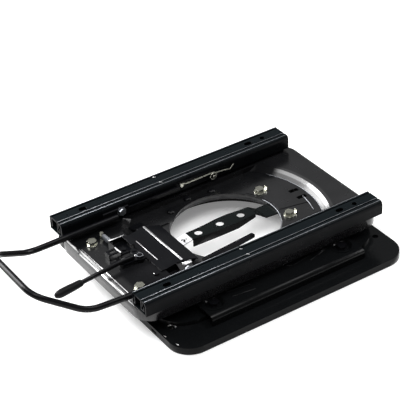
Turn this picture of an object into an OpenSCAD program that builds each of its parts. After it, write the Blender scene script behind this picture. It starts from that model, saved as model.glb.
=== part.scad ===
// Swivel seat base with slide rails for a caravan or camper seat.
// A fixed pan carries a ball ring. The ring turns an upper tray with two slide rails.
// Origin on the swivel axis, level with the underside of the pan. Front is -Y, up is +Z.

/* [Pan] */
// Width of the pan
pan_w = 406; // [390:1:430]
// Front edge of the pan from the front floor holes
front_edge = 22.5; // [18:0.5:36]
// Rear edge of the pan from the rear floor holes
rear_edge = 16.5; // [15:0.5:26]
// Height of the pan's rim
rim_z = 12; // [11:0.5:14]
// Height of the raised middle of the pan
tier_z = 19; // [18:0.5:21]
// Height of the deck that carries the ball ring
deck_z = 29; // [28.5:0.5:30]
// Radius of the hole through the pan
pan_hole_r = 122; // [110:1:124]
// Spacing of the floor holes across
floor_x = 274; // [268:1:280]
// Spacing of the floor holes front to back
floor_y = 397; // [385:1:410]
// Diameter of the floor holes
floor_hole = 10; // [8:0.5:11]
// Sheet thickness
sheet = 2.5; // [2:0.1:3]

/* [Tray] */
// Half width of the upper tray
tray_x = 134; // [134:0.5:140]
// Front edge of the upper tray from the swivel axis
tray_front = 243; // [238:1:246]
// Rear edge of the upper tray from the swivel axis
tray_rear = 214; // [206:1:216]
// Height of the tray's top
tray_z = 54; // [53:0.5:56]
// Depth of the dished middle
dish_depth = 8; // [7:0.5:9]
// Radius of the dish floor
dish_r = 160; // [156:1:164]
// Radius of the round opening in the tray
open_r = 88; // [84:1:92]

/* [Rails] */
// Length of the slide rails
rail_len = 450; // [420:5:460]
// Distance between the two rails
rail_pitch = 255; // [252:0.5:258]
// Rear end of the rails from the swivel axis
rail_rear = 204; // [196:1:210]
// Height of the rails' top
rail_top = 84; // [83:0.5:88]
// Spacing of the seat slots front to back
seat_y = 327.5; // [310:0.5:340]
// Width of the seat slots
seat_slot = 8.5; // [8:0.5:10]

/* [Towel bar] */
// Diameter of the bar
bar_d = 10.5; // [9:0.5:11]
// Height of the raised front of the bar
bar_front_z = 115; // [90:1:120]
// Front of the bar from the swivel axis
bar_front_y = 388; // [370:1:400]

/* [Release] */
// Diameter of the release rod
rod_d = 7.6; // [5:0.2:8]
// Largest diameter of the grip
grip_d = 14; // [12:0.5:16]
// Width of the lock link at its middle
link_w = 31; // [26:1:34]
// Diameter of the holes in the lock link
link_hole = 13.5; // [9:0.5:15]

/* [Hidden] */
$fn = 64;
e = 0.01;
t = sheet;
px2 = pan_w / 2;
pan_front = floor_y / 2 + front_edge;
pan_rear = floor_y / 2 + rear_edge;
tier_x = px2 - 50;
tier_f = pan_front - 13;
tier_r = pan_rear - 12;
tier_c = 55;
fh_y1 = -floor_y / 2;
fh_y2 = floor_y / 2;
deck_x = px2 - 83;
corner = 32;
round_f = 9;
deck_f = tier_f - 10;
deck_r = tier_r - 3;
deck_c = 25;
deck_hole = 100;
ch_x = tier_x + 21;
ch_y = 147;
ch_r = 8;
rib_x = ch_x - 8;
dim_x = ch_x - 31;
dim_y = 124;
dim_r = 18.5;
dim_z = deck_z - 4;
ball_r = 3;
ball_c = 118;
ball_z = deck_z + 6;
n_ball = 24;
in_r1 = 94;
in_r2 = 116.6;
out_r1 = 119.4;
out_r2 = 129.5;
floor_z = tray_z - dish_depth;
skirt_z = deck_z + 4;
wall_r = dish_r + 12;
dish_x = 106;
dish_f = 155;
bolt_r = 103.5;
rivet_r = 99.8;
bolt_a = 24;
rx = rail_pitch / 2;
rail_front = rail_len - rail_rear;
riser_z = tray_z + 6;
rf = riser_z;
rt = rail_top;
rwall = 2;
foot_z = rf + 6;
seat_y1 = -193.5;
seat_y2 = seat_y1 + seat_y;
riv_x = 124.5;
fb_x = 73;
fb_y = -212;
screw = [57, -172.6];
anchor = [-79, -190];
arm_a = [66, -84];
arm_b = [55, 10];
rod_y = -205;
comb_n = 20;
comb_p = 10;
tooth_y = -87;
bar_x = 57;
piv_y = -138;
piv_z = tray_z + 18;
arm_in = 101.2;
arm_t = 3;
leg_x = arm_in - bar_d / 2 + 0.05;
leg_z = tray_z + 13.7;
lev_x = 10.7;
lev_y = -173;
lev_z = tray_z + 4;
crank = 19;
link_t = 2.2;
link_top = tray_z - 2;
link_low = floor_z + 0.2;
link_rear = floor_z - t - 4;
zn = [0.72, 0.72, 0.7];
blk = [0.08, 0.08, 0.09];

module box(a, b) { translate(a) cube(b - a); }
module cyl(x, y, z1, z2, r) { translate([x, y, z1]) cylinder(h = z2 - z1, r = r); }
module rrect(x, y1, y2, r, z1, z2) {
  box([-x, y1 + r, z1], [x, y2 - r, z2]);
  box([-x + r, y1, z1], [x - r, y2, z2]);
  for (sx = [-1, 1]) {
    cyl(sx * (x - r), y1 + r, z1, z2, r);
    cyl(sx * (x - r), y2 - r, z1, z2, r);
  }
}
module hex(x, y, z1, z2, af) {
  translate([x, y, z1]) cylinder(h = z2 - z1, r = af / sqrt(3), $fn = 6);
}
module slot_y(x, y, len, r, z1, z2) {
  s = len / 2 - r;
  cyl(x, y - s, z1, z2, r);
  cyl(x, y + s, z1, z2, r);
  box([x - r, y - s, z1], [x + r, y + s, z2]);
}
module slot_x(x, y, len, r, z1, z2) {
  s = len / 2 - r;
  cyl(x - s, y, z1, z2, r);
  cyl(x + s, y, z1, z2, r);
  box([x - s, y - r, z1], [x + s, y + r, z2]);
}

// pipe along a list of points
function unit(v) = v / norm(v);
function tang(p, i) = i == 0 ? unit(p[1] - p[0])
  : i == len(p) - 1 ? unit(p[i] - p[i - 1]) : unit(unit(p[i + 1] - p[i]) + unit(p[i] - p[i - 1]));
function side(v, u) = unit(cross(v, u));
function ring(p, i, r, n, u) = let (v = tang(p, i), a = side(v, u), b = cross(a, v))
  [for (k = [0 : n - 1]) p[i] + r * cos(360 * k / n) * a + r * sin(360 * k / n) * b];
module pipe(p, r, n, u) {
  m = len(p);
  pts = [for (i = [0 : m - 1]) each ring(p, i, r, n, u)];
  sides = [for (i = [0 : m - 2]) for (k = [0 : n - 1])
    [i * n + k, (i + 1) * n + k, (i + 1) * n + (k + 1) % n, i * n + (k + 1) % n]];
  cap1 = [for (k = [0 : n - 1]) k];
  cap2 = [for (k = [n - 1 : -1 : 0]) (m - 1) * n + k];
  polyhedron(points = pts, faces = concat([cap1], sides, [cap2]), convexity = 6);
}
// rounded corner between three points
function bend(a, b, c, d, n) = let (p = b + d * unit(a - b), q = b + d * unit(c - b))
  [for (k = [0 : n]) let (s = k / n) (1 - s) * (1 - s) * p + 2 * s * (1 - s) * b + s * s * q];

// fixed base
module base_pan() {
  color(blk) difference() {
    union() {
      difference() {
        rrect(px2, -pan_front, pan_rear, 38, 0, rim_z);
        rrect(px2 - t, -pan_front + t, pan_rear - t, 38 - t, -1, rim_z - t);
        rrect(tier_x - t, -tier_f + t, tier_r - t, tier_c - t, -1, rim_z + 1);
      }
      difference() {
        rrect(tier_x, -tier_f, tier_r, tier_c, rim_z - t, tier_z);
        rrect(tier_x - t, -tier_f + t, tier_r - t, tier_c - t, rim_z - t - 1, tier_z - t);
      }
      cyl(0, 0, tier_z - 11, tier_z - t + e, pan_hole_r + t);
      // sleeves around the floor bolts
      for (sx = [-1, 1]) for (y = [fh_y1, fh_y2])
        cyl(sx * floor_x / 2, y, 0, rim_z - t + e, floor_hole / 2 + 4);
    }
    cyl(0, 0, -1, tier_z + 1, pan_hole_r);
    for (sx = [-1, 1]) {
      for (y = [fh_y1, fh_y2]) cyl(sx * floor_x / 2, y, -1, rim_z + 1, floor_hole / 2);
      for (y = [-dim_y, dim_y]) cyl(sx * dim_x, y, 1, tier_z + 1, 4.3);
    }
    box([115, -pan_front - 1, 3.5], [129, -pan_front + t + 1, 7.5]);
    box([-129, -pan_front - 1, 3.5], [-115, -pan_front + t + 1, 7.5]);
  }
}
module deck_frame() {
  color(blk) difference() {
    rrect(deck_x, -deck_f, deck_r, deck_c, tier_z, deck_z);
    rrect(deck_x - t, -deck_f + t, deck_r - t, deck_c - t, tier_z - 1, deck_z - t);
    cyl(0, 0, tier_z - 1, deck_z + 1, deck_hole);
  }
}
module side_channel() {
  r = ch_r;
  color(blk) difference() {
    union() {
      difference() {
        union() {
          box([deck_x, -ch_y, tier_z], [ch_x - r, ch_y, deck_z]);
          box([tier_x + 1, -ch_y, rim_z], [ch_x, ch_y, deck_z - r]);
          translate([ch_x - r, -ch_y, deck_z - r]) rotate([-90, 0, 0]) cylinder(h = 2 * ch_y, r = r);
        }
        box([deck_x + t, -ch_y - 1, rim_z - 1], [ch_x - r, ch_y + 1, deck_z - t]);
        box([tier_x - 2, -ch_y - 1, rim_z - 1], [ch_x - t, ch_y + 1, deck_z - r]);
        translate([ch_x - r, -ch_y - 1, deck_z - r]) rotate([-90, 0, 0])
          cylinder(h = 2 * ch_y + 2, r = r - t);
        for (y = [-dim_y, dim_y]) cyl(dim_x, y, dim_z - t - 1, deck_z + 1, dim_r - 1);
      }
      for (y = [-dim_y, dim_y]) translate([dim_x, y, 0]) rotate_extrude()
        polygon([[3.5, dim_z - t], [13.5, dim_z - t], [dim_r, deck_z - t - 0.5], [dim_r, deck_z],
                 [dim_r + 1.5, deck_z + 0.8], [dim_r - 1.5, deck_z + 0.8], [dim_r - 2, deck_z],
                 [12.5, dim_z], [3.5, dim_z]]);
      ribs();
    }
    for (y = [-dim_y, dim_y]) cyl(dim_x, y, rim_z, deck_z + 2, 4.2);
  }
}
// pressed stiffening beads on the shelf
module bead(a, b) {
  d = b - a;
  translate([a[0], a[1], deck_z]) rotate([0, 90, atan2(d[1], d[0])])
    scale([0.5, 1, 1]) cylinder(h = norm(d), r = 2, $fn = 24);
}
module ribs() {
  intersection() {
    union() {
      bead([rib_x - 32.5, 97], [rib_x - 22, 60]);
      bead([rib_x - 33.5, 22], [rib_x - 28, 30]);
      bead([rib_x - 28, 30], [rib_x - 33, 66]);
      bead([rib_x - 33.5, -94], [rib_x - 28, -52]);
      bead([rib_x - 19, -92], [rib_x - 14, -52]);
    }
    box([rib_x - 34.5, -ch_y, deck_z - 1], [rib_x - 8, ch_y, deck_z + 2]);
  }
}
module side_channel_right() { side_channel(); }
module side_channel_left() { mirror([1, 0, 0]) side_channel(); }
module channel_bolts() {
  color(blk) for (sx = [-1, 1]) for (y = [-dim_y, dim_y]) {
    cyl(sx * dim_x, y, dim_z, dim_z + 1.2, 9.5);
    hex(sx * dim_x, y, dim_z + 1, dim_z + 6.2, 15);
    cyl(sx * dim_x, y, tier_z - t - 9, dim_z + 1, 4);
  }
}
module channel_nuts() {
  color(zn) for (sx = [-1, 1]) for (y = [-dim_y, dim_y]) difference() {
    translate([sx * dim_x, y, 0]) rotate([0, 0, 30]) hex(0, 0, tier_z - t - 6.5, tier_z - t, 13);
    cyl(sx * dim_x, y, 0, tier_z + 1, 4.05);
  }
}
module bearing_outer_ring() {
  color([0.35, 0.35, 0.36]) difference() {
    cyl(0, 0, deck_z, floor_z - t - 0.6, out_r2, $fn = 96);
    cyl(0, 0, deck_z - 1, floor_z + 1, out_r1, $fn = 96);
    cyl(0, 0, ball_z + 4, floor_z + 1, 124);
    rotate_extrude() translate([ball_c, ball_z]) circle(r = ball_r + 0.03, $fn = 32);
    for (a = [0 : 90 : 270]) rotate([0, 0, a]) translate([0, 125, 0])
      box([-10.5, -6, link_rear - 0.2], [10.5, 6, floor_z + 1]);
  }
}
module bearing_inner_ring() {
  color([0.35, 0.35, 0.36]) difference() {
    cyl(0, 0, deck_z + 2, floor_z - t, in_r2);
    cyl(0, 0, deck_z, floor_z, in_r1);
    rotate_extrude() translate([ball_c, ball_z]) circle(r = ball_r + 0.03, $fn = 32);
    box([-17, 80, link_rear - 0.8], [25, 120, floor_z]);
    for (a = [-bolt_a, bolt_a]) rotate([0, 0, a]) cyl(0, bolt_r, deck_z, floor_z, 4.05);
    for (a = rivet_a()) rotate([0, 0, a]) cyl(0, rivet_r, deck_z, floor_z, 3.05);
  }
}
function rivet_a() = [71, 97.5, 124, -71, -97.5, -124];
module ball_cage() {
  color([0.5, 0.45, 0.3]) difference() {
    cyl(0, 0, ball_z - 4.2, ball_z + 4.2, ball_c + 0.9);
    cyl(0, 0, ball_z - 5, ball_z + 5, ball_c - 0.9);
    for (i = [0 : n_ball - 1]) rotate([0, 0, i * 360 / n_ball])
      translate([ball_c - 3, 0, ball_z]) rotate([0, 90, 0]) cylinder(h = 6, r = ball_r + 0.1, $fn = 24);
  }
}
module bearing_balls() {
  color(zn) for (i = [0 : n_ball - 1]) rotate([0, 0, i * 360 / n_ball])
    translate([ball_c, 0, ball_z]) sphere(r = ball_r, $fn = 20);
}

// turning tray
module dish_zone(r, w, z1, z2) {
  intersection() {
    cyl(0, 0, z1, z2, r);
    box([-dish_x - w, -dish_f - w, z1 - 1], [dish_x + w, 200, z2 + 1]);
  }
}
// takes the sharp front edge off the tray
module front_cut(o, r) {
  y = -tray_front + o;
  z = tray_z - o;
  difference() {
    box([-tray_x - 2, y - 2, z - r], [tray_x + 2, y + r, z + 2]);
    translate([-tray_x - 3, y + r, z - r]) rotate([0, 90, 0]) cylinder(h = 2 * tray_x + 6, r = r);
  }
}
module upper_tray() {
  color(blk) difference() {
    union() {
      difference() {
        rrect(tray_x, -tray_front, tray_rear, corner, skirt_z, tray_z);
        front_cut(0, round_f);
        difference() {
          rrect(tray_x - t, -tray_front + t, tray_rear - t, corner - t, skirt_z - 1, tray_z - t);
          front_cut(t, round_f - t);
        }
        dish_zone(wall_r - 1, t, floor_z, tray_z + 1);
      }
      // floor of the dish
      dish_zone(dish_r + 1, t, floor_z - t, floor_z);
      // sloping wall of the dish
      intersection() {
        rotate_extrude($fn = 128) polygon([[dish_r, floor_z - t], [wall_r + 1.2, tray_z - t],
          [wall_r + 1.2, tray_z], [wall_r - 1.2, tray_z], [dish_r - 0.5, floor_z],
          [dish_r - 2, floor_z - t]]);
        box([-dish_x - t, -dish_f - t, 0], [dish_x + t, 220, 80]);
      }
      // straight walls of the dish
      intersection() {
        cyl(0, 0, floor_z - t, tray_z, wall_r);
        union() {
          for (s = [-1, 1]) box([s > 0 ? dish_x : -dish_x - t, -dish_f - t, floor_z - t],
                                [s > 0 ? dish_x + t : -dish_x, 140, tray_z]);
          box([-dish_x - t, -dish_f - t, floor_z - t], [dish_x + t, -dish_f, tray_z]);
        }
      }
      // turned-down rim of the round opening
      intersection() {
        cyl(0, 0, floor_z - t - 2.5, floor_z, open_r + 2);
        box([-100, -30, 0], [100, 100, 80]);
      }
      // raised sector behind the opening
      intersection() {
        difference() {
          cyl(0, 0, floor_z - e, floor_z + 0.8, 146);
          cyl(0, 0, floor_z - 1, floor_z + 2, open_r + 4);
        }
        linear_extrude(height = 80) polygon([[0, 0], [-150, 212], [45, 212]]);
      }
    }
    cyl(0, 0, floor_z - 10, floor_z + 5, open_r);
    box([-60, -104, floor_z - 10], [60, -40, floor_z + 5]);
    box([-16, 60, floor_z - 10], [24, 92, floor_z - t - 0.01]);
    for (x = [-11.5, 11.5]) box([x - 4, 134, floor_z - 5], [x + 4, 152, floor_z + 5]);
    for (a = [-bolt_a, bolt_a]) rotate([0, 0, a]) cyl(0, bolt_r, floor_z - 5, tray_z, 4.1);
    for (a = rivet_a()) rotate([0, 0, a]) cyl(0, rivet_r, floor_z - 5, tray_z, 3.1);
    box([-12.5, -dish_f - t - 1, floor_z - 0.01], [12.5, -dish_f + 1, tray_z - t]);
    cyl(lev_x, lev_y, 40, 80, 4.05);
    slot_y(lev_x - crank, lev_y + 2.6, 15, 4, 40, 80);
    for (s = [-1, 1]) cyl(s * fb_x, fb_y, 40, 80, 4.2);
    cyl(screw[0], screw[1], 40, 80, 2.6);
    for (s = [-1, 1]) for (y = rivet_y()) cyl(s * riv_x, y, 40, 80, 3.05);
    for (p = br_p()) cyl(p[0], p[1], 40, 80, 2.05);
    cyl(anchor[0], anchor[1], 40, 80, 2.05);
    cyl(arm_a[0], arm_a[1], 40, 80, 3.05);
  }
}
function rivet_y() = [-205, -120, 80, 165];
function br_p() = [[-54, -179], [-54, -170], [-27, -180]];
module crossbar() {
  z = tray_z;
  color(blk) {
    translate([-bar_x, 0, 0]) rotate([90, 0, 90]) linear_extrude(height = 2 * bar_x)
      polygon([[-163, z], [-152, z], [-124, z + 4], [-94, z - 5], [-94, z - 3], [-124, z + 6],
               [-152, z + 2], [-163, z + 2]]);
    for (x = [-bar_x, bar_x - 2]) translate([x, 0, 0]) rotate([90, 0, 90]) linear_extrude(height = 2)
      polygon([[-151, floor_z], [-106, floor_z], [-98, z - 4], [-124, z + 5], [-151, z + 1]]);
    // sloping ends that reach down to the dish
    for (s = [-1, 1]) scale([s, 1, 1]) translate([bar_x, -112, 0]) rotate([90, 0, 0])
      linear_extrude(height = 24) polygon([[-1.5, z + 2], [-1.5, z + 4], [3, z + 3.6],
        [21, floor_z + 2], [29, floor_z + 2], [29, floor_z], [20, floor_z], [2, z + 1.8]]);
  }
}
// the raised sector lies under one washer only
function seat_h(a) = floor_z + (a > 0 ? 0.8 : 0);
module ring_bolts() {
  color(zn) for (a = [-bolt_a, bolt_a]) rotate([0, 0, a]) translate([0, 0, seat_h(a)]) {
    cyl(0, bolt_r, 1.5, 2.5, 9);
    hex(0, bolt_r, 2.2, 7.7, 13);
    cyl(0, bolt_r, deck_z - floor_z + 3, 2.2, 4);
  }
}
module tab_washers() {
  color(zn) for (a = [-bolt_a, bolt_a]) rotate([0, 0, a]) translate([0, bolt_r, seat_h(a)])
    difference() {
      union() {
        cyl(0, 0, 0, 1.5, 9.5);
        rotate([0, 0, -a]) box([-4, 0, 0], [4, 14, 1.5]);
        rotate([0, 0, -a]) box([-4, 12.5, 0], [4, 14, 6.2]);
      }
      cyl(0, 0, -1, 5, 4.1);
    }
}
module ring_rivets() {
  color(blk) for (a = rivet_a()) rotate([0, 0, a]) {
    translate([0, rivet_r, floor_z]) difference() {
      scale([1, 1, 0.6]) sphere(r = 6.9, $fn = 32);
      box([-8, -8, -8], [8, 8, 0]);
    }
    cyl(0, rivet_r, deck_z + 4, floor_z + 1, 3);
  }
}

// rails
module riser(s) {
  color(blk) difference() {
    box([s > 0 ? 115.8 : -tray_x + 1, -rail_front + 14, tray_z],
        [s > 0 ? tray_x - 1 : -115.8, rail_rear - 5, riser_z]);
    box([s > 0 ? 115.8 + t : -tray_x + 1 + t, -rail_front, tray_z - 1],
        [s > 0 ? tray_x - 1 - t : -115.8 - t, rail_rear + 5, riser_z - t]);
    for (y = rivet_y()) cyl(s * riv_x, y, 40, 80, 3.05);
  }
}
module rail_riser_left() { riser(-1); }
module rail_riser_right() { riser(1); }
// section of the lower rail about its centre line
module low_sec() {
  polygon([[-19.5, rf], [19.5, rf], [19.5, rt - 6.5], [18.6, rt - 3], [16.8, rt - 1], [14.2, rt],
           [8.6, rt], [8.6, rt - 10], [10.4, rt - 10], [10.4, rt - rwall], [13.8, rt - rwall],
           [15.8, rt - 2.9], [16.8, rt - 4.2], [17.5, rt - 7], [17.5, rf + rwall],
           [-17.5, rf + rwall], [-17.5, rt - rwall], [-16.4, rt - rwall], [-16.4, rt - 10],
           [-14.6, rt - 10], [-14.6, rt], [-18.3, rt], [-19.5, rt - 1.2]]);
}
module up_sec() {
  polygon([[-13.2, foot_z], [-16.2, foot_z], [-16.2, foot_z + 2], [-13.2, foot_z + 2],
           [-13.2, rt - 0.8], [-12.4, rt], [5.8, rt], [6.6, rt - 0.8], [6.6, foot_z + 2],
           [12.4, foot_z + 2], [12.4, foot_z + 9], [14.4, foot_z + 9], [14.4, foot_z],
           [4.6, foot_z], [4.6, rt - 2], [-11.2, rt - 2], [-11.2, foot_z]]);
}
module rail_ext(y1, y2) {
  translate([0, y2, 0]) rotate([90, 0, 0]) linear_extrude(height = y2 - y1) children();
}
module lower_rail(s) {
  color(blk) difference() {
    union() {
      translate([s * rx, 0, 0]) rail_ext(-rail_front, rail_rear) low_sec();
      // crimped stop marks
      translate([s * rx, -51.5, rt]) {
        translate([-16.2, 0, -1]) cylinder(h = 1.8, r = 1.5, $fn = 20);
        translate([10.8, 0, -1]) cylinder(h = 1.8, r = 1.5, $fn = 20);
      }
    }
    // window for the latch tooth on the inner side
    if (s < 0) box([-rx + 16, tooth_y - 10, rf + rwall], [-rx + 21, tooth_y + 10, rf + 12]);
    if (s > 0) box([rx - 21, tooth_y - 10, rf + rwall], [rx - 16, tooth_y + 10, rf + 12]);
    for (y = rivet_y()) cyl(s * riv_x, y, 40, rf + 5, 3.05);
    translate([s * (rx - 19), piv_y, piv_z]) rotate([0, 90, 0])
      cylinder(h = 5, r = 3.05, center = true);
    for (p = [[-20, piv_z + 2.5], [45, piv_z - 6]]) translate([s * (rx - 19), p[0], p[1]])
      rotate([0, 90, 0]) cylinder(h = 5, r = 1.55, center = true, $fn = 24);
  }
}
module lower_rail_left() { lower_rail(-1); }
module lower_rail_right() { lower_rail(1); }
module rail_rivets() {
  color(zn) for (s = [-1, 1]) for (y = rivet_y()) {
    cyl(s * riv_x, y, rf + rwall, rf + rwall + 1.8, 5.5);
    cyl(s * riv_x, y, tray_z - t - 2, rf + rwall + 1, 3);
    cyl(s * riv_x, y, tray_z - t - 2, tray_z - t, 5);
  }
}
module upper_rail(s) {
  color(blk) translate([s * rx, 0, 0]) difference() {
    rail_ext(-rail_front, rail_rear) up_sec();
    for (y = [seat_y1, seat_y2]) slot_y(-3.3, y, 14, seat_slot / 2, rt - 5, rt + 1);
    cyl(-3.3, seat_y2 + 30, rt - 5, rt + 1, 4.25);
    // comb for the latch tooth
    for (i = [0 : comb_n]) {
      y = tooth_y + (i - 10) * comb_p;
      if (s < 0) box([7.2, y - 2.5, foot_z - 1], [15, y + 2.5, foot_z + 4]);
      if (s > 0) box([-17, y - 2.5, foot_z - 1], [-13.4, y + 2.5, foot_z + 4]);
    }
  }
}
module upper_rail_left() { upper_rail(-1); }
module upper_rail_right() { upper_rail(1); }
module shoes(s) {
  color([0.85, 0.84, 0.8]) translate([s * rx, 0, 0])
    for (y = [-rail_front + 16, rail_rear - 41]) {
      box([-16, y, rf + rwall + 0.2], [-11.4, y + 25, foot_z]);
      box([9, y, rf + rwall + 0.2], [14, y + 25, foot_z]);
    }
}
module slide_shoes_left() { shoes(-1); }
module slide_shoes_right() { shoes(1); }

// slide release bar
module towel_bar() {
  p0 = [leg_x, piv_y - 11, leg_z];
  p1 = [leg_x, -rail_front, leg_z];
  p2 = [93.4, -313.5, leg_z + 2.3];
  p3 = [64, -bar_front_y, bar_front_z];
  q3 = [-p3[0], p3[1], p3[2]];
  q2 = [-p2[0], p2[1], p2[2]];
  q1 = [-p1[0], p1[1], p1[2]];
  q0 = [-p0[0], p0[1], p0[2]];
  path = concat([p0], bend(p0, p1, p2, 12, 3), bend(p1, p2, p3, 20, 7), bend(p2, p3, q3, 24, 8),
    bend(p3, q3, q2, 24, 8), bend(q3, q2, q1, 20, 7), bend(q2, q1, q0, 12, 3), [q0]);
  color(blk) pipe(path, bar_d / 2, 20, [0, 0.35, 1]);
}
module latch_arm(s) {
  color(blk) difference() {
    union() {
      difference() {
        box([s > 0 ? arm_in : -arm_in - arm_t, piv_y - 34, leg_z - 5],
            [s > 0 ? arm_in + arm_t : -arm_in, tooth_y + 4, piv_z + 6]);
        box([-120, piv_y + 14, piv_z + 2], [120, tooth_y + 5, piv_z + 8]);
      }
      box([s > 0 ? arm_in : -arm_in - arm_t, tooth_y, piv_z - 4],
          [s > 0 ? arm_in + arm_t : -arm_in, -24.5, piv_z + 2]);
      // tooth that reaches through the window in the rail
      box([s > 0 ? arm_in : -rx + 8, tooth_y - 1.5, foot_z - 3.4],
          [s > 0 ? rx - 13.6 : -arm_in, tooth_y + 1.5, foot_z - 0.8]);
    }
    translate([s * arm_in, piv_y, piv_z]) rotate([0, 90, 0])
      cylinder(h = 12, r = 4.05, center = true);
  }
}
module latch_arm_left() { latch_arm(-1); }
module latch_arm_right() { latch_arm(1); }
module pivot_bolts() {
  xi = rx - 19.5;
  color(zn) for (s = [-1, 1]) scale([s, 1, 1]) translate([0, piv_y, piv_z]) rotate([0, 90, 0]) {
    translate([0, 0, arm_in - 4.8]) cylinder(h = 4.6, r = 11 / sqrt(3), $fn = 6);
    translate([0, 0, arm_in - 0.5]) cylinder(h = 0.3, r = 8);
    translate([0, 0, arm_in - 0.5]) cylinder(h = xi - arm_in + 0.5, r = 4);
    translate([0, 0, xi - 0.5]) cylinder(h = rwall + 1.4, r = 3);
  }
}
// return spring of bent wire along the rail's inner side
module wire_spring(s) {
  x = rx - 19.5 - 1.6;
  z0 = piv_z;
  loop = [for (k = [0 : 16]) let (a = 90 - k * 22.5)
    [s * (x - 2.4 * k / 16), 45 + 6.2 * cos(a), z0 - 6 + 6.2 * sin(a)]];
  path = concat([[s * x, -16.8, z0 + 2.5], [s * x, -8, z0 - 0.2]], loop,
    [[s * (x - 2.4), 72, z0 - 2.7], [s * (x - 2.4), 78, z0 - 4], [s * (x - 2.4), 86, z0 + 3]]);
  color(zn) pipe(path, 1.1, 10, [1, 0, 0]);
}
module wire_spring_left() { wire_spring(-1); }
module wire_spring_right() { wire_spring(1); }
module spring_posts() {
  color(zn) for (s = [-1, 1]) for (p = [[-20, piv_z + 2.5], [45, piv_z - 6]]) {
    translate([s * (rx - 21.5), p[0], p[1]]) rotate([0, 90, 0])
      cylinder(h = 8, r = 1.5, center = true, $fn = 24);
    translate([s * (rx - 25.6), p[0], p[1]]) rotate([0, 90, 0])
      cylinder(h = 1.4, r = 3, center = true, $fn = 24);
  }
}

// fasteners at the front
module front_bolts() {
  color(zn) for (s = [-1, 1]) {
    hex(s * fb_x, fb_y, tray_z + 1.6, tray_z + 7.2, 14);
    cyl(s * fb_x, fb_y, tray_z - t - 8, tray_z + 2, 4);
  }
}
module front_washers() {
  color(zn) for (s = [-1, 1]) difference() {
    cyl(s * fb_x, fb_y, tray_z, tray_z + 1.6, 9.5);
    cyl(s * fb_x, fb_y, tray_z - 1, tray_z + 3, 4.1);
  }
}
module front_nuts() {
  color(zn) for (s = [-1, 1]) difference() {
    hex(s * fb_x, fb_y, tray_z - t - 6.5, tray_z - t, 13);
    cyl(s * fb_x, fb_y, tray_z - 20, tray_z, 4.05);
  }
}
module tray_screw() {
  color(zn) {
    cyl(screw[0], screw[1], tray_z, tray_z + 2.4, 4.6);
    cyl(screw[0], screw[1], tray_z - 7, tray_z + 1, 2.5);
  }
}

// swivel release
module latch_bracket() {
  z = tray_z;
  color(blk) difference() {
    union() {
      box([-60, -184, z], [-48, -166, z + 2]);
      box([-50, -195, z], [-18, -165, z + 2]);
      box([-50, -195, z], [-48, -165, z + 12]);
      box([-50, -195, z], [-10, -193, z + 12]);
      box([-50, -167, z], [-18, -165, z + 12]);
      box([-50, -171, z + 10], [-18, -165, z + 12]);
      // small hook at the front
      box([-30, -213, z + 8], [-16, -194, z + 10]);
      box([-30, -213, z], [-16, -211, z + 10]);
    }
    box([-26, -208, z + 7], [-20, -199, z + 13]);
    for (p = br_p()) cyl(p[0], p[1], z - 5, z + 5, 2.05);
    box([-51, -192, z + 4.6], [-47, -188, z + 7.4]);
  }
}
module bracket_rivets() {
  color(zn) for (p = br_p()) {
    cyl(p[0], p[1], tray_z + 2, tray_z + 3.8, 4);
    cyl(p[0], p[1], tray_z - t - 1.5, tray_z + 3, 2);
    cyl(p[0], p[1], tray_z - t - 1.5, tray_z - t, 3.5);
  }
}
module lever_pivot_pin() {
  color(blk) {
    cyl(lev_x, lev_y, tray_z - t - 1, lev_z + 5, 4);
    cyl(lev_x, lev_y, tray_z, lev_z - 0.05, 7.5);
    cyl(lev_x, lev_y, lev_z + 4.05, lev_z + 6.5, 6.5);
  }
}
module release_lever() {
  color(blk) difference() {
    union() {
      cyl(lev_x, lev_y, lev_z, lev_z + 4, 9.5);
      box([lev_x - crank, lev_y - 5.5, lev_z], [lev_x, lev_y + 5.5, lev_z + 4]);
      cyl(lev_x - crank, lev_y, lev_z, lev_z + 4, 5.5);
      box([lev_x - 6, rod_y, lev_z], [lev_x + 6, lev_y, lev_z + 4]);
      cyl(lev_x, rod_y, lev_z, lev_z + 4, 6);
    }
    cyl(lev_x, lev_y, lev_z - 1, lev_z + 5, 4.05);
    cyl(lev_x - crank, lev_y, lev_z - 1, lev_z + 5, 2.5);
  }
}
module crank_pin() {
  color(blk) {
    cyl(lev_x - crank, lev_y, link_low - 2, lev_z + 5, 2.5);
    cyl(lev_x - crank, lev_y, lev_z + 4, lev_z + 5.2, 4);
  }
}
rod_z = lev_z + 4 + rod_d / 2;
rod_a = [lev_x, rod_y, rod_z];
rod_b = [22, -329, rod_z - 3.3];
module along(a, b) {
  d = b - a;
  translate(a) rotate([0, acos(d[2] / norm(d)), atan2(d[1], d[0])]) children();
}
module release_rod() {
  color(blk) {
    translate([lev_x, -184, rod_z]) rotate([90, 0, 0]) cylinder(h = 22, r = rod_d / 2);
    along(rod_a, rod_b) cylinder(h = 112, r = rod_d / 2);
  }
}
module lever_grip() {
  g = grip_d / 2;
  color([0.05, 0.05, 0.05]) along(rod_a, rod_b) difference() {
    translate([0, 0, 78]) rotate_extrude() polygon([[0, 0], [g - 1.6, 0], [g - 1.2, 1.5],
      [g - 0.6, 12], [g, 27], [g, 38], [g - 0.6, 43], [g - 2, 46.6], [g - 4, 49], [0, 50.2]]);
    translate([0, 0, 70]) cylinder(h = 42, r = rod_d / 2);
  }
}
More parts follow.
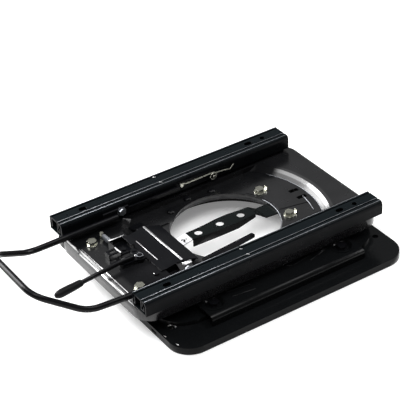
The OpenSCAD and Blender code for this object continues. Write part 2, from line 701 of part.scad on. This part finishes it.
module lock_link() {
  zt = link_top;
  h = link_t;
  w = link_w / 2;
  color(blk) difference() {
    union() {
      // front part under the crossbar, with the crank fork
      box([-10.5, -181, link_low], [10.5, -90, link_low + h]);
      box([lev_x - crank - 9, -181, link_low], [0, -165, link_low + h]);
      // sloping end, flat middle and joggle at the rear
      strip([-10.5, 10.5], [-10.5, 10.5], -90, -74, link_low, zt - h);
      linear_extrude2(zt - h, zt) polygon([[-10.5, -74.01], [10.5, -74.01], [12.5, -58],
        [w, -25], [w, 12], [w - 2, 34], [w - 2.5, 49], [-11, 49], [-12, 34], [-w + 0.5, 8],
        [-w + 1, -14], [-12, -36], [-10.8, -58]]);
      strip([-11, w - 2.5], [-11, 20], 48.9, 64, zt - h, link_rear + 1);
      linear_extrude2(link_rear + 1, link_rear + 1 + h) polygon([[-11, 63.9], [20, 63.9],
        [22, 84], [20, 108], [10, 112], [10, 122.4], [-10, 122.4], [-10, 108], [-11, 84]]);
      // turned-down edge
      hull() {
        box([9.6, -73, zt - 15], [11.4, -71, zt - h + 0.5]);
        box([w - 2.4, -25, zt - 13], [w - 0.1, -23, zt - h + 0.5]);
      }
      box([w - 2.4, -25, zt - 13], [w - 0.1, 12, zt - h + 0.5]);
      hull() {
        box([w - 2.4, 11, zt - 13], [w - 0.1, 12, zt - h + 0.5]);
        box([w - 4.6, 47, zt - 7], [w - 2.6, 48, zt - h + 0.5]);
      }
    }
    for (y = [-56.5, -14.5, 26.5]) cyl(0.5, y, zt - 5, zt + 1, link_hole / 2);
    cyl(3, -82, link_low - 1, zt + 1, 3.2);
    slot_x(lev_x - crank + 0.4, lev_y, 7.4, 2.75, link_low - 1, link_low + h + 1);
  }
}
module linear_extrude2(z1, z2) { translate([0, 0, z1]) linear_extrude(height = z2 - z1) children(); }
// sloping strip between two heights
module strip(xa, xb, ya, yb, za, zb) {
  h = link_t;
  polyhedron(points = [[xa[0], ya, za], [xa[1], ya, za], [xb[1], yb, zb], [xb[0], yb, zb],
    [xa[0], ya, za + h], [xa[1], ya, za + h], [xb[1], yb, zb + h], [xb[0], yb, zb + h]],
    faces = [[0, 1, 2, 3], [7, 6, 5, 4], [4, 5, 1, 0], [5, 6, 2, 1], [6, 7, 3, 2], [7, 4, 0, 3]]);
}
module coil_spring() {
  n = 12;
  w = 1.6;
  prof = [for (i = [0 : n - 1]) each [[3.4, i * w], [4.4, i * w + w / 2]]];
  z = tray_z + 6;
  color(zn) {
    translate([anchor[0] + 6, anchor[1], z]) rotate([0, 90, 0]) rotate_extrude($fn = 32)
      polygon(concat([[0, 0]], prof, [[3.4, n * w], [0, n * w]]));
    translate([anchor[0] - 2.5, anchor[1], z]) rotate([0, 90, 0]) cylinder(h = 10, r = 0.9, $fn = 20);
    translate([anchor[0] + 23, anchor[1], z]) rotate([0, 90, 0]) cylinder(h = 9, r = 0.9, $fn = 20);
    translate([anchor[0] + 32, anchor[1], z - 2]) cylinder(h = 4, r = 0.9, $fn = 20);
    translate([anchor[0] - 2, anchor[1], z - 2]) cylinder(h = 4, r = 0.9, $fn = 20);
  }
}
module spring_anchor() {
  color(zn) difference() {
    union() {
      cyl(anchor[0], anchor[1], tray_z, tray_z + 10, 3);
      cyl(anchor[0], anchor[1], tray_z - t - 1, tray_z + 1, 2);
    }
    box([-83, -191.1, tray_z + 4.9], [-75, -188.9, tray_z + 8.6]);
    box([-83, -191.1, tray_z + 3.8], [-79.8, -188.9, tray_z + 8.6]);
  }
}
module stop_arm() {
  color(blk) difference() {
    hull() {
      cyl(arm_a[0], arm_a[1], floor_z, floor_z + 3, 8, $fn = 32);
      cyl(arm_b[0], arm_b[1], floor_z, floor_z + 3, 5.5, $fn = 32);
    }
    cyl(arm_a[0], arm_a[1], 40, 60, 3.05);
    cyl(arm_b[0], arm_b[1], 40, 60, 2.05);
  }
}
module stop_arm_pin() {
  color(blk) {
    cyl(arm_a[0], arm_a[1], floor_z - t, floor_z + 3, 3);
    cyl(arm_a[0], arm_a[1], floor_z + 3, floor_z + 5, 5);
    cyl(arm_b[0], arm_b[1], floor_z - 3, floor_z + 3, 2);
    cyl(arm_b[0], arm_b[1], floor_z + 3, floor_z + 5, 3.4);
  }
}

base_pan();
deck_frame();
side_channel_left();
side_channel_right();
channel_bolts();
channel_nuts();
bearing_outer_ring();
bearing_inner_ring();
ball_cage();
bearing_balls();
upper_tray();
crossbar();
ring_bolts();
tab_washers();
ring_rivets();
rail_riser_left();
rail_riser_right();
lower_rail_left();
lower_rail_right();
rail_rivets();
upper_rail_left();
upper_rail_right();
slide_shoes_left();
slide_shoes_right();
towel_bar();
latch_arm_left();
latch_arm_right();
pivot_bolts();
wire_spring_left();
wire_spring_right();
spring_posts();
front_bolts();
front_washers();
front_nuts();
latch_bracket();
bracket_rivets();
lever_pivot_pin();
release_lever();
crank_pin();
release_rod();
lever_grip();
lock_link();
coil_spring();
spring_anchor();
stop_arm();
stop_arm_pin();
tray_screw();
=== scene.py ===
import math

import bpy
from mathutils import Matrix, Vector


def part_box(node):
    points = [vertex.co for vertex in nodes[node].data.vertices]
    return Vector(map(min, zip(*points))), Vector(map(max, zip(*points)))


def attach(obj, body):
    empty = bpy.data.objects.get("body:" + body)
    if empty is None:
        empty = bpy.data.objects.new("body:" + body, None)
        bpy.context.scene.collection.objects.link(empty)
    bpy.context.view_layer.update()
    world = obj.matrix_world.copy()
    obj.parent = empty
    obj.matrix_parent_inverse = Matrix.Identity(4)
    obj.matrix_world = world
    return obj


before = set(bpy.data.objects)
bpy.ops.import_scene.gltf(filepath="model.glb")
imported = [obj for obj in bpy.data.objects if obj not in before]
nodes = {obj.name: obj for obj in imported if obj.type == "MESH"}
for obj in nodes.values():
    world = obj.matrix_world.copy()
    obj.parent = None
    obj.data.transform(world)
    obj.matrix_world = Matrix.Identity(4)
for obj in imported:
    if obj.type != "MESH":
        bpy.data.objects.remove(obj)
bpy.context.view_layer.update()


# materials
def principled(name):
    m = bpy.data.materials.new(name)
    m.use_nodes = True
    nt = m.node_tree
    return m, nt, nt.nodes["Principled BSDF"]


def noise(nt, scale, detail=3.0):
    co = nt.nodes.new("ShaderNodeTexCoord")
    n = nt.nodes.new("ShaderNodeTexNoise")
    n.inputs["Scale"].default_value = scale
    n.inputs["Detail"].default_value = detail
    nt.links.new(co.outputs["Object"], n.inputs["Vector"])
    return n


def ramp(nt, src, lo, hi, a=0.35, b=0.65):
    r = nt.nodes.new("ShaderNodeMapRange")
    r.inputs["From Min"].default_value = a
    r.inputs["From Max"].default_value = b
    r.inputs["To Min"].default_value = lo
    r.inputs["To Max"].default_value = hi
    nt.links.new(src, r.inputs["Value"])
    return r.outputs["Result"]


def bump(nt, bsdf, scale, strength, dist):
    n = noise(nt, scale)
    b = nt.nodes.new("ShaderNodeBump")
    b.inputs["Strength"].default_value = strength
    b.inputs["Distance"].default_value = dist
    nt.links.new(n.outputs["Fac"], b.inputs["Height"])
    nt.links.new(b.outputs["Normal"], bsdf.inputs["Normal"])


def mixed(nt, factor, a, b):
    mix = nt.nodes.new("ShaderNodeMix")
    mix.data_type = "RGBA"
    nt.links.new(factor, mix.inputs["Factor"])
    for socket, value in (("A", a), ("B", b)):
        if hasattr(value, "node"):
            nt.links.new(value, mix.inputs[socket])
        else:
            mix.inputs[socket].default_value = (*value, 1)
    return mix.outputs["Result"]


def axis_of(nt, output, axis):
    co = nt.nodes.new("ShaderNodeTexCoord")
    xyz = nt.nodes.new("ShaderNodeSeparateXYZ")
    nt.links.new(co.outputs[output], xyz.inputs[0])
    return xyz.outputs[axis]


def paint(name, color, top, rough, coat, wave=0.12, dust=None, spec=0.3):
    """Gloss paint: color on the sides, and a lighter top colour on faces that look up, a painted sheen."""
    m, nt, p = principled(name)
    p.inputs["Coat Weight"].default_value = coat
    p.inputs["Coat Roughness"].default_value = 0.1
    p.inputs["Specular IOR Level"].default_value = spec
    n = noise(nt, 40.0)
    nt.links.new(ramp(nt, n.outputs["Fac"], rough - 0.04, rough + 0.06), p.inputs["Roughness"])
    bump(nt, p, 90.0, wave, 0.0006)
    # painted sheen: faces that look up get the lighter top colour
    up = ramp(nt, axis_of(nt, "Normal", "Z"), 0.0, 1.0, 0.55, 1.0)
    tone = mixed(nt, up, color, top)
    if dust:
        d = noise(nt, 16.0, 5.0)
        tone = mixed(nt, ramp(nt, d.outputs["Fac"], 0.0, 1.0, 0.45, 0.75), tone, dust)
    nt.links.new(tone, p.inputs["Base Color"])
    return m


def math_node(nt, operation, a, b):
    node = nt.nodes.new("ShaderNodeMath")
    node.operation = operation
    nt.links.new(a, node.inputs[0])
    nt.links.new(b, node.inputs[1])
    return node.outputs[0]


def window(nt, value, low, high, soft):
    """One between low and high, nothing outside."""
    rise = ramp(nt, value, 0.0, 1.0, low - soft, low + soft)
    fall = ramp(nt, value, 1.0, 0.0, high - soft, high + soft)
    return math_node(nt, "MULTIPLY", rise, fall)


def ring_part(nt, radii, angles):
    """One on part of a ring around the swivel axis, nothing elsewhere."""
    x, y = axis_of(nt, "Object", "X"), axis_of(nt, "Object", "Y")
    xx, yy = math_node(nt, "MULTIPLY", x, x), math_node(nt, "MULTIPLY", y, y)
    near = window(nt, math_node(nt, "ADD", xx, yy), radii[0] ** 2, radii[1] ** 2, 0.0002)
    turn = math_node(nt, "ARCTAN2", x, y)
    return math_node(nt, "MULTIPLY", near, window(nt, turn, *[math.radians(a) for a in angles], 0.06))


def metal(name, color, rough, scale=60.0):
    m, nt, p = principled(name)
    p.inputs["Metallic"].default_value = 1.0
    n = noise(nt, scale, 4.0)
    mix = nt.nodes.new("ShaderNodeMix")
    mix.data_type = "RGBA"
    mix.inputs["A"].default_value = (*[c * 0.72 for c in color], 1)
    mix.inputs["B"].default_value = (*color, 1)
    nt.links.new(ramp(nt, n.outputs["Fac"], 0.0, 1.0), mix.inputs["Factor"])
    nt.links.new(mix.outputs["Result"], p.inputs["Base Color"])
    nt.links.new(ramp(nt, n.outputs["Fac"], rough + 0.12, rough), p.inputs["Roughness"])
    bump(nt, p, 300.0, 0.06, 0.0003)
    return m


def plastic(name, color, rough, grain=0.15, spec=0.5):
    m, nt, p = principled(name)
    p.inputs["Specular IOR Level"].default_value = spec
    p.inputs["Base Color"].default_value = (*color, 1)
    n = noise(nt, 120.0)
    nt.links.new(ramp(nt, n.outputs["Fac"], rough - 0.05, rough + 0.08), p.inputs["Roughness"])
    bump(nt, p, 700.0, grain, 0.0002)
    return m


# each paint's second colour is its painted sheen on faces that look up
BLACK = paint("black_gloss_paint", (0.003, 0.003, 0.0035), (0.0042, 0.0044, 0.0054), 0.2, 0.05, 0.1,
              None, 0.1)
PAN = paint("pan_gloss_paint", (0.0025, 0.0028, 0.003), (0.0045, 0.005, 0.0055), 0.2, 0.0, 0.2, None, 0.115)
RAIL = paint("rail_gloss_paint", (0.002, 0.0024, 0.003), (0.0032, 0.0052, 0.0064), 0.3, 0.0, 0.05, None, 0.07)
TRAY = paint("tray_satin_paint", (0.005, 0.005, 0.0055), (0.005, 0.0052, 0.0058), 0.22, 0.15, 0.12,
             (0.0095, 0.0095, 0.0105), 0.35)
LINK = paint("link_paint", (0.0025, 0.003, 0.003), (0.004, 0.0055, 0.0055), 0.24, 0.0, 0.08, None, 0.08)
nt = LINK.node_tree
p = nt.nodes["Principled BSDF"]
# painted highlight: a near-white band across the strap's sloped end, where it catches the light
strap_highlight = window(nt, axis_of(nt, "Object", "Y"), -0.094, -0.0748, 0.0008)
painted = p.inputs["Base Color"].links[0].from_socket
nt.links.new(mixed(nt, strap_highlight, painted, (0.8, 0.8, 0.82)), p.inputs["Base Color"])
nt = TRAY.node_tree
p = nt.nodes["Principled BSDF"]
gloss = ring_part(nt, (0.1655, 0.177), (-24, 30))
dull = ring_part(nt, (0.15, 0.2), (-75, -27))
shade = math_node(nt, "MULTIPLY", window(nt, axis_of(nt, "Object", "X"), 0.019, 0.13, 0.006),
                  window(nt, axis_of(nt, "Object", "Y"), -0.217, -0.12, 0.006))
sheen = math_node(nt, "SUBTRACT", gloss, math_node(nt, "ADD", dull, shade))
nt.links.new(ramp(nt, sheen, 0.0, 0.8, -0.25, 1.0), p.inputs["Coat Weight"])
nt.links.new(ramp(nt, sheen, 0.02, 0.8, -0.6, 0.6), p.inputs["Specular IOR Level"])
ZINC = metal("bright_zinc", (0.58, 0.58, 0.5), 0.2)
STEEL = metal("ring_steel", (0.07, 0.07, 0.072), 0.45)
CAGE = plastic("cage_plastic", (0.35, 0.3, 0.2), 0.5)
SHOE = plastic("shoe_plastic", (0.6, 0.59, 0.55), 0.45)
GRIP = plastic("grip_plastic", (0.004, 0.004, 0.0045), 0.38, 0.3, 0.12)
# light metal that carries painted highlights on raised lines and spots
SHINE = metal("highlight_metal", (0.92, 0.92, 0.93), 0.3, 90.0)
# grey metal: the pivot bolts' and coil spring's finish, and the colour of the fainter painted highlight lines
EDGE = metal("grey_metal_and_edge_highlight", (0.27, 0.28, 0.3), 0.4, 90.0)

zinc = ("channel_nuts", "ring_bolts", "tab_washers", "rail_rivets",
        "wire_spring_left", "wire_spring_right", "spring_posts", "front_bolts", "front_washers",
        "front_nuts", "coil_spring", "spring_anchor")
look = {n: BLACK for n in nodes}
look.update({n: ZINC for n in zinc})
look.update({n: EDGE for n in ("pivot_bolts", "coil_spring")})
look.update({n: STEEL for n in ("bearing_outer_ring", "bearing_inner_ring", "bearing_balls")})
look.update({n: PAN for n in ("base_pan", "deck_frame", "side_channel_left", "side_channel_right")})
look.update({n: RAIL for n in ("lower_rail_left", "lower_rail_right", "upper_rail_left",
                               "upper_rail_right", "rail_riser_left", "rail_riser_right")})
look.update({n: TRAY for n in ("upper_tray",)})
look.update({"ball_cage": CAGE, "slide_shoes_left": SHOE, "slide_shoes_right": SHOE,
             "lever_grip": GRIP, "lock_link": LINK})
smooth = {"bearing_balls", "ring_rivets", "wire_spring_left", "wire_spring_right", "towel_bar"}
radius = {"base_pan": 0.0014, "upper_tray": 0.0018, "side_channel_left": 0.0008,
          "side_channel_right": 0.0008, "deck_frame": 0.0012, "crossbar": 0.0006}
for n, o in nodes.items():
    o.data.materials.clear()
    o.data.materials.append(look[n])
    if n in smooth or n == "ball_cage":
        continue
    w = o.modifiers.new("weld", "WELD")
    w.merge_threshold = 0.000002
    b = o.modifiers.new("edge", "BEVEL")
    b.width = radius.get(n, 0.0004)
    b.segments = 2 if n in radius else 1
    b.limit_method = "ANGLE"
    b.angle_limit = math.radians(50)
    b.use_clamp_overlap = True
    b.harden_normals = True


# detail pieces
def mesh(name, verts, faces, mat, body, flat=False):
    me = bpy.data.meshes.new(name)
    me.from_pydata([Vector(v) * 0.001 for v in verts], [], faces)
    me.validate()
    me.update()
    o = bpy.data.objects.new(name, me)
    bpy.context.scene.collection.objects.link(o)
    me.materials.append(mat)
    if not flat:
        me.polygons.foreach_set("use_smooth", [True] * len(me.polygons))
    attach(o, body)
    return o


def bead(name, pts, w, h, mat, body, up=(0, 0, 1)):
    """Low rounded ridge of width w and height h along a line on a surface that faces up."""
    pts = [Vector(p) for p in pts]
    up = Vector(up).normalized()
    shape = [(-0.5, -0.4), (-0.5, 0.0), (-0.32, 0.7), (0.0, 1.0), (0.32, 0.7), (0.5, 0.0), (0.5, -0.4)]
    k = len(shape)
    verts = []
    for i, p in enumerate(pts):
        t = (pts[min(i + 1, len(pts) - 1)] - pts[max(i - 1, 0)]).normalized()
        side = t.cross(up).normalized()
        verts += [p + side * (a * w) + up * (c * h) for a, c in shape]
    faces = []
    for i in range(len(pts) - 1):
        for j in range(k):
            n = (j + 1) % k
            faces.append((i * k + j, i * k + n, (i + 1) * k + n, (i + 1) * k + j))
    faces.append(tuple(range(k))[::-1])
    faces.append(tuple(range((len(pts) - 1) * k, len(pts) * k)))
    return mesh(name, verts, faces, mat, body)


def round_at(x, y, r, a, z):
    """Point at angle a, in degrees from the rear, on the circle of radius r about x, y."""
    return (x + r * math.sin(math.radians(a)), y + r * math.cos(math.radians(a)), z)


def polar(r, a, z):
    return round_at(0, 0, r, a, z)


def mm(node):
    lo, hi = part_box(node)
    return [v * 1000 for v in lo], [v * 1000 for v in hi]


# heights and places in millimetres, taken from the frame
TRAY_Z = mm("upper_tray")[1][2]
BRACKET_Z = mm("latch_bracket")[1][2]
LEVER_Z = mm("release_lever")[1][2]
DISH_DEPTH = 8
DISH_Z = TRAY_Z - DISH_DEPTH
PAN_RIM_Z = 12
CROSSBAR_X = 57
STRAP_Z = mm("lock_link")[1][2]
SCREW_Z = mm("tray_screw")[1][2]
RAIL_TOP_Z = mm("upper_rail_left")[1][2]

# painted highlights along the crossbar's folds
bead("crossbar_fold_shine", [(-CROSSBAR_X, -124, TRAY_Z + 6), (CROSSBAR_X - 1, -124, TRAY_Z + 6)], 4.0, 0.6,
     SHINE, "turntable")
bead("crossbar_front_shine", [(-35, -152, TRAY_Z + 2.1), (29, -152, TRAY_Z + 2.1)], 1.5, 0.35,
     SHINE, "turntable")
slope = (9.6, 0, 18)
bead("crossbar_end_shine", [(63, -126, 55.9), (63, -111, 55.9)], 6, 0.5, SHINE, "turntable", slope)

# dark notch in the painted highlight at the strap's end
bead("strap_notch", [round_at(5, -89.5, 3.2, a, STRAP_Z) for a in range(-120, 91, 30)], 3.0, 0.7,
     BLACK, "link")

# painted highlights on the edges of the latch bracket and the lever
bead("bracket_side_shine", [(-49, -194, BRACKET_Z), (-49, -166, BRACKET_Z)], 2.0, 0.5, SHINE, "turntable")
bead("bracket_front_shine", [(-28, -195, BRACKET_Z), (-10.5, -195, BRACKET_Z)], 2.6, 0.6, SHINE, "turntable")
pin = mm("lever_pivot_pin")
px, py = (pin[0][0] + pin[1][0]) / 2, (pin[0][1] + pin[1][1]) / 2
bead("pin_ring", [round_at(px, py, 5, a, pin[1][2]) for a in range(0, 361, 30)], 1.0, 0.3,
     EDGE, "turntable")
bead("tray_screw_glint", [(55, -175.5, SCREW_Z), (57.5, -176, SCREW_Z)], 1.4, 0.4, SHINE, "turntable")
bead("lever_shine", [(6, -181, LEVER_Z), (1, -169, LEVER_Z)], 1.6, 0.4, SHINE, "lever")

# painted highlights along the tray's pressed lines and front edge
bead("tray_front_line", [(-70, -232.5, TRAY_Z), (100, -232.5, TRAY_Z)], 1.5, 0.5, SHINE, "turntable")
bead("tray_nose_line", [(-62, -240.3, TRAY_Z - 0.7), (104, -240.3, TRAY_Z - 0.7)], 3.4, 0.9,
     SHINE, "turntable", (0, -0.5, 1))
bead("dish_edge_line", [polar(159, a, DISH_Z) for a in range(-31, 30, 3)], 1.2, 0.45, EDGE, "turntable")
bead("sector_line", [polar(145.5, a, DISH_Z + 0.8) for a in range(4, 25, 3)], 1.2, 0.45, EDGE, "turntable")
bead("opening_line", [polar(89, a, DISH_Z) for a in range(-14, 82, 4)], 1.4, 0.5, EDGE, "turntable")

# painted highlights along the rails' edges
rail_z = mm("lower_rail_left")[1][2] - 0.8
for side, cx in (("left", -127.5), ("right", 127.5)):
    lo, hi = mm("lower_rail_" + side)
    y0, y1 = lo[1] + 1, hi[1] - 1
    for tag, off in (("outer", -17.9), ("inner", 13.9)):
        bead(f"rail_{side}_{tag}_line", [(cx + off, y0, rail_z), (cx + off, y1, rail_z)], 1.0, 0.3,
             EDGE, "turntable")
    lo, hi = mm("upper_rail_" + side)
    bead(f"slide_{side}_line", [(cx + 5.6, lo[1] + 1, rail_z), (cx + 5.6, hi[1] - 1, rail_z)], 0.8, 0.25,
         EDGE, "rail_" + side)

# painted highlight on the edge of the near floor hole
bead("floor_hole_shine", [round_at(137, -198.5, 6.2, a, PAN_RIM_Z) for a in range(-110, 31, 10)], 2.4, 0.4,
     SHINE, "base")

# small painted highlights on the rail tops
for i, (x, y) in enumerate(((-139, -50.5), (-120, -49.5), (116.5, -52.5), (134, -51.5))):
    bead(f"rail_top_glint_{i}", [(x - 1.5, y - 2, RAIL_TOP_Z), (x + 1.5, y + 2, RAIL_TOP_Z)], 1.0, 0.3, SHINE,
         "rail_left" if x < 0 else "rail_right")

# painted highlights: bright spots at the pan's near front corner
for i, (x, y) in enumerate(((149, -218), (177, -213.5))):
    bead(f"pan_corner_glint_{i}", [(x - 2.5, y - 0.4, PAN_RIM_Z), (x + 2.5, y + 0.4, PAN_RIM_Z)], 1.3, 0.35,
         SHINE, "base")

# floor
bpy.ops.mesh.primitive_plane_add(size=40, location=(0, 0, -0.0004))
floor = bpy.context.object
floor.name = "floor"
m = bpy.data.materials.new("floor")
m.use_nodes = True
nt = m.node_tree
nt.nodes.clear()
out = nt.nodes.new("ShaderNodeOutputMaterial")
diff = nt.nodes.new("ShaderNodeBsdfDiffuse")
diff.inputs["Color"].default_value = (0.9, 0.9, 0.9, 1)
emi = nt.nodes.new("ShaderNodeEmission")
emi.inputs["Color"].default_value = (1, 1, 1, 1)
lpf = nt.nodes.new("ShaderNodeLightPath")
cg = nt.nodes.new("ShaderNodeMath")
cg.operation = "MAXIMUM"
cgt = nt.nodes.new("ShaderNodeMath")
cgt.operation = "MAXIMUM"
st = nt.nodes.new("ShaderNodeMath")
st.operation = "MULTIPLY"
st.inputs[1].default_value = 0.2
nt.links.new(lpf.outputs["Is Camera Ray"], cg.inputs[0])
nt.links.new(lpf.outputs["Is Glossy Ray"], cg.inputs[1])
nt.links.new(cg.outputs[0], cgt.inputs[0])
nt.links.new(lpf.outputs["Is Transmission Ray"], cgt.inputs[1])
nt.links.new(cgt.outputs[0], st.inputs[0])
nt.links.new(st.outputs[0], emi.inputs["Strength"])
add = nt.nodes.new("ShaderNodeAddShader")
nt.links.new(diff.outputs[0], add.inputs[0])
nt.links.new(emi.outputs[0], add.inputs[1])
nt.links.new(add.outputs[0], out.inputs["Surface"])
floor.data.materials.append(m)

# world
world = bpy.data.worlds.new("studio")
bpy.context.scene.world = world
world.use_nodes = True
wt = world.node_tree
bg = wt.nodes["Background"]
bg.inputs["Color"].default_value = (1, 1, 1, 1)
bg.inputs["Strength"].default_value = 0.24


def area(name, loc, target, size, size_y, power):
    d = bpy.data.lights.new(name, "AREA")
    d.shape = "RECTANGLE"
    d.size, d.size_y = size, size_y
    d.energy = power
    o = bpy.data.objects.new(name, d)
    bpy.context.scene.collection.objects.link(o)
    o.location = loc
    o.rotation_euler = (Vector(target) - Vector(loc)).to_track_quat("-Z", "Y").to_euler()
    return o


area("left_box", (-2.2, -1.05, 1.35), (0, -0.05, 0.05), 1.9, 1.5, 150)
area("high_box", (-1.2, -1.15, 2.3), (0, 0, 0.05), 1.1, 1.1, 16)
area("top_box", (1.0, -0.7, 3.1), (0, 0, 0), 1.6, 1.6, 50)
area("edge_box", (0.3, 1.35, 2.6), (0, 0, 0.05), 1.5, 1.1, 24)
area("back_box", (0.5, 3.0, 1.4), (0, 0, 0.1), 1.6, 0.8, 40)
area("far_box", (-1.9, 1.25, 1.5), (0, 0, 0.05), 1.6, 1.2, 0.8)

# camera at the photo's angle
cam_data = bpy.data.cameras.new("camera")
cam = bpy.data.objects.new("camera", cam_data)
bpy.context.scene.collection.objects.link(cam)
bpy.context.scene.camera = cam
cam_data.sensor_width = 36
cam_data.lens = 138.13
cam_data.clip_start = 0.05
back = Vector((0.7058, -0.4395, 0.5557)).normalized()
right = (-back).cross(Vector((0, 0, 1))).normalized()
up = right.cross(-back)
roll = math.radians(-3.08)
x_axis = right * math.cos(roll) + up * math.sin(roll)
y_axis = -right * math.sin(roll) + up * math.cos(roll)
rot = Matrix((x_axis, y_axis, back)).transposed().to_4x4()
cam.matrix_world = Matrix.Translation(Vector((-0.0147, -0.0405, 0.1003)) + back * 2.4645) @ rot

vs = bpy.context.scene.view_settings
vs.view_transform = "Standard"
